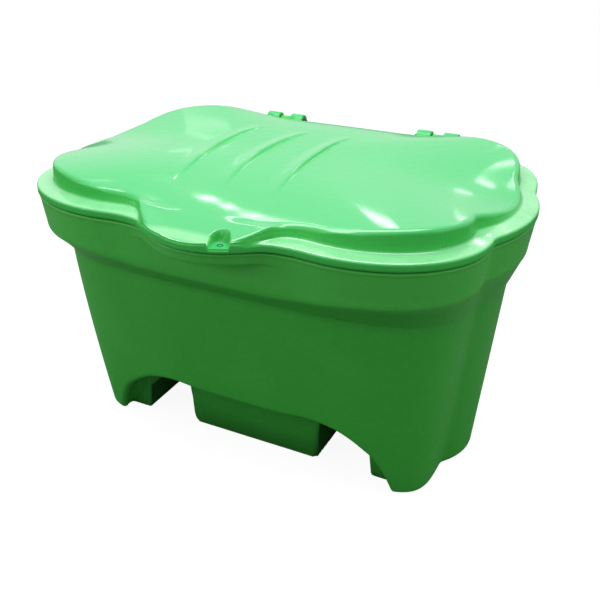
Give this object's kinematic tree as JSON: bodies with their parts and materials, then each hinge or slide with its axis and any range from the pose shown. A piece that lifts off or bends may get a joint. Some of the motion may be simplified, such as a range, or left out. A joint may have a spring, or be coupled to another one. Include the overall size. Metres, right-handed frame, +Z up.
{
  "type": "grit salt bin",
  "caption": "Free-standing moulded roadside bin for grit or salt, with a domed scalloped lid hinged at the back, a padlock pocket and fork tunnels underneath.",
  "frame": {"origin": "on the ground, under the middle of the overall bounding box", "axes": "+X along the bin's long side, to the right seen from the front; -Y faces the front with the lock pocket; +Z up"},
  "size_m": [1.3276, 1.0605, 0.8126],
  "materials": {
    "moulded_green": "satin moulded polyethylene",
    "moulded_green_gloss": "glossy moulded polyethylene",
    "seal_rubber": "soft black strip",
    "zinc_steel": "zinc plated steel",
    "bush_nylon": "natural nylon",
    "cap_plastic": "black push-on cap"
  },
  "bodies": {
    "tub": {"tub": "moulded_green", "rim_seal": "seal_rubber", "hinge_pin_left": "zinc_steel", "hinge_pin_right": "zinc_steel", "hinge_washers_left": "zinc_steel", "hinge_washers_right": "zinc_steel", "hinge_caps_left": "cap_plastic", "hinge_caps_right": "cap_plastic", "tub_lock_bush": "zinc_steel"},
    "lid": {"lid": "moulded_green_gloss", "hinge_bushes_left": "bush_nylon", "hinge_bushes_right": "bush_nylon", "lid_lock_bush": "zinc_steel"}
  },
  "joints": [
    {"name": "lid_hinge", "type": "hinge", "parent": "tub", "child": "lid", "pos_m": [0, 0.506, 0.745], "axis": [-1, 0, 0], "range_deg": [0, 100]}
  ]
}
